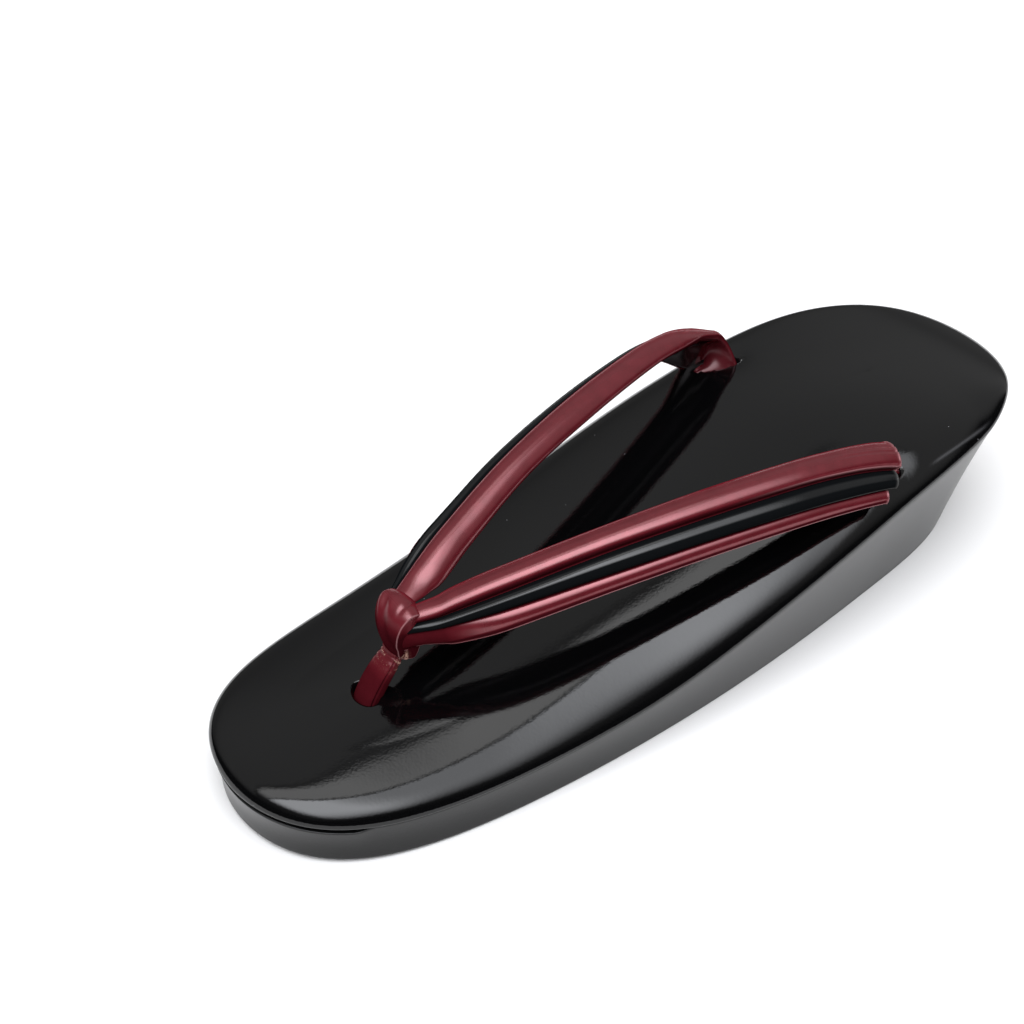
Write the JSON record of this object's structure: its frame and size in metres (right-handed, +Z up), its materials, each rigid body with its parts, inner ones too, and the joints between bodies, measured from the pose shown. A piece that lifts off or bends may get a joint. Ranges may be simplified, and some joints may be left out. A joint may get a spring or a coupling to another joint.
{
  "type": "zori",
  "caption": "Zori sandal: a wedge sole wrapped in black enamel, a padded top with a rolled edge, and a V-shaped thong strap of wine and black rolls tied down by a toe post.",
  "frame": {"origin": "on the floor under the middle of the shoe's length and width", "axes": "+Z up, -Y towards the toe, +Y towards the heel, +X to the wearer's left or right alike"},
  "size_m": [0.085, 0.24, 0.0615],
  "materials": {
    "enamel": "black patent gloss",
    "wine": "pearly satin wine",
    "black": "black gloss"
  },
  "bodies": {
    "root": {"sole": "enamel", "top_pad": "enamel", "strap": "wine", "black_roll_right": "black", "black_roll_left": "black", "toe_post": "wine"}
  },
  "joints": []
}
